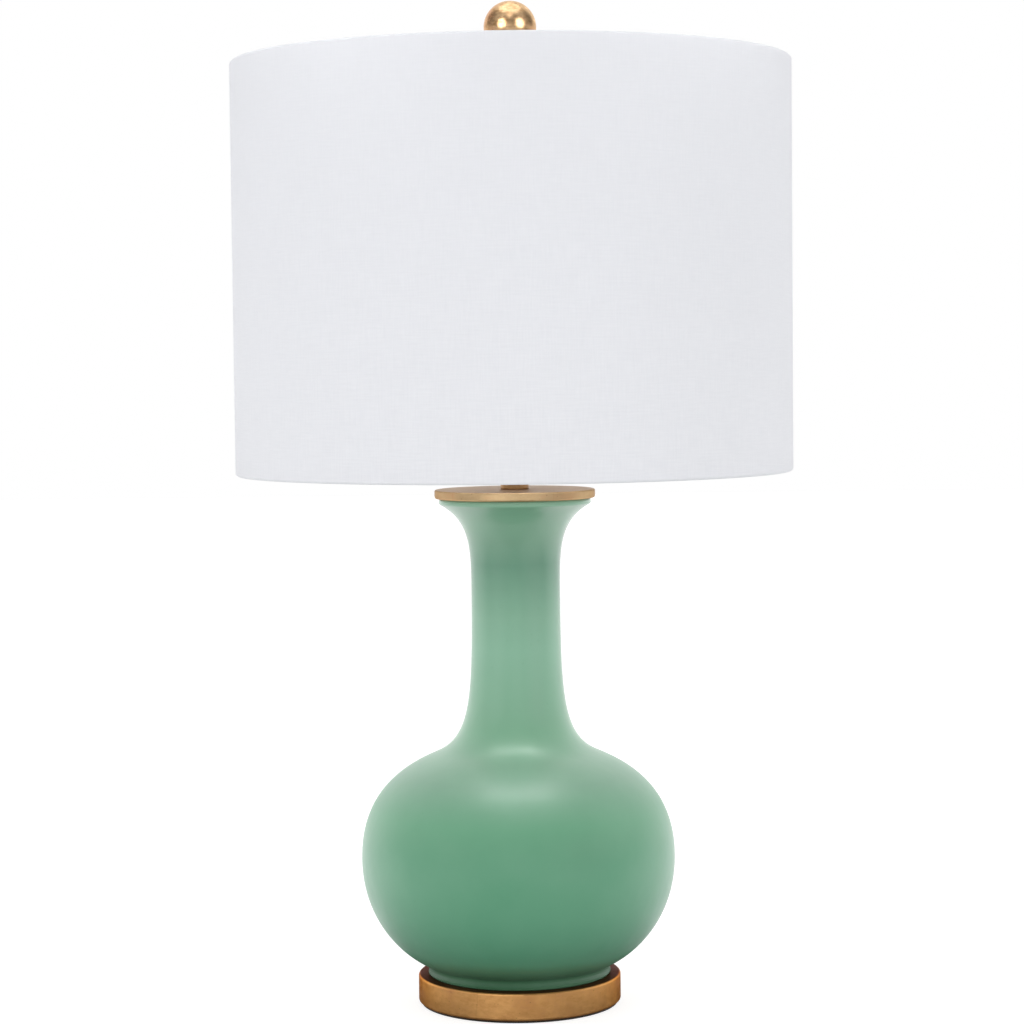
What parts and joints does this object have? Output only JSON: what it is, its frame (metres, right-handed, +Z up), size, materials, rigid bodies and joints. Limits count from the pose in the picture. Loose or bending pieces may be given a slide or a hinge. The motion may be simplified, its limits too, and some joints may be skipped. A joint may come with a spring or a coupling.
{
  "type": "ceramic table lamp",
  "caption": "Table lamp with a glossy celadon bottle-shaped ceramic body on a round gold-leaf plinth, a white linen drum shade on a harp and a gold ball finial.",
  "frame": {"origin": "centre of the underside, on the table", "axes": "+Z up along the lamp's axis, -Y the front with the switch, +Y the back with the cord inlet"},
  "size_m": [0.381, 0.381, 0.687],
  "materials": {
    "felt": "dense brown felt",
    "gold_leaf": "antique gold leaf on turned wood, satin",
    "nylon": "dark moulded nylon",
    "zinc_steel": "zinc plated",
    "celadon_glaze": "glossy green glaze",
    "brass": "polished, lightly aged",
    "phenolic": "moulded phenolic",
    "card": "waxed card",
    "knob_plastic": "dark gloss",
    "aluminium": "plain spun",
    "bulb_body": "white, satin",
    "bulb_glass": "frosted diffuser",
    "linen": "plain woven white linen",
    "styrene": "white styrene sheet",
    "white_wire": "white coated steel wire"
  },
  "bodies": {
    "lamp": {"felt_pad": "felt", "base_plinth": "gold_leaf", "cord_bushing": "nylon", "base_washer": "zinc_steel", "base_lock_washer": "zinc_steel", "base_nut": "zinc_steel", "lamp_pipe": "zinc_steel", "vase_body": "celadon_glaze", "vase_cap": "gold_leaf", "neck_collar": "brass", "harp_saddle": "brass", "harp_wire": "brass", "harp_stud": "brass", "socket_cap": "brass", "socket_shell": "brass", "socket_insulator": "card", "socket_body": "phenolic", "terminal_screws": "brass", "socket_screw_shell": "aluminium", "socket_contact": "brass"},
    "shade": {"shade_fabric": "linen", "shade_liner": "styrene", "shade_top_ring": "white_wire", "shade_bottom_ring": "white_wire", "shade_spider": "white_wire"},
    "finial": {"finial_base": "brass", "finial_ball": "gold_leaf"},
    "switch": {"switch_stem": "brass", "switch_knob": "knob_plastic"},
    "bulb": {"bulb_contact": "brass", "bulb_insulator": "phenolic", "bulb_base": "aluminium", "bulb_housing": "bulb_body", "bulb_board": "aluminium", "bulb_globe": "bulb_glass"},
    "left_sleeve": {"left_harp_sleeve": "brass"},
    "right_sleeve": {"right_harp_sleeve": "brass"}
  },
  "joints": [
    {"name": "shade_turn", "type": "hinge", "parent": "lamp", "child": "shade", "pos_m": [0, 0, 0.6374], "axis": [0, 0, 1], "continuous": true},
    {"name": "finial_turn", "type": "hinge", "parent": "lamp", "child": "finial", "pos_m": [0, 0, 0.6452], "axis": [0, 0, 1], "continuous": true},
    {"name": "switch_turn", "type": "hinge", "parent": "lamp", "child": "switch", "pos_m": [0, -0.02, 0.3973], "axis": [0, -1, 0], "continuous": true},
    {"name": "bulb_turn", "type": "hinge", "parent": "lamp", "child": "bulb", "pos_m": [0, 0, 0.4208], "axis": [0, 0, 1], "continuous": true},
    {"name": "left_sleeve_slide", "type": "slide", "parent": "lamp", "child": "left_sleeve", "axis": [0, 0, 1], "range_m": [0, 0.012]},
    {"name": "right_sleeve_slide", "type": "slide", "parent": "lamp", "child": "right_sleeve", "axis": [0, 0, 1], "range_m": [0, 0.012]}
  ]
}
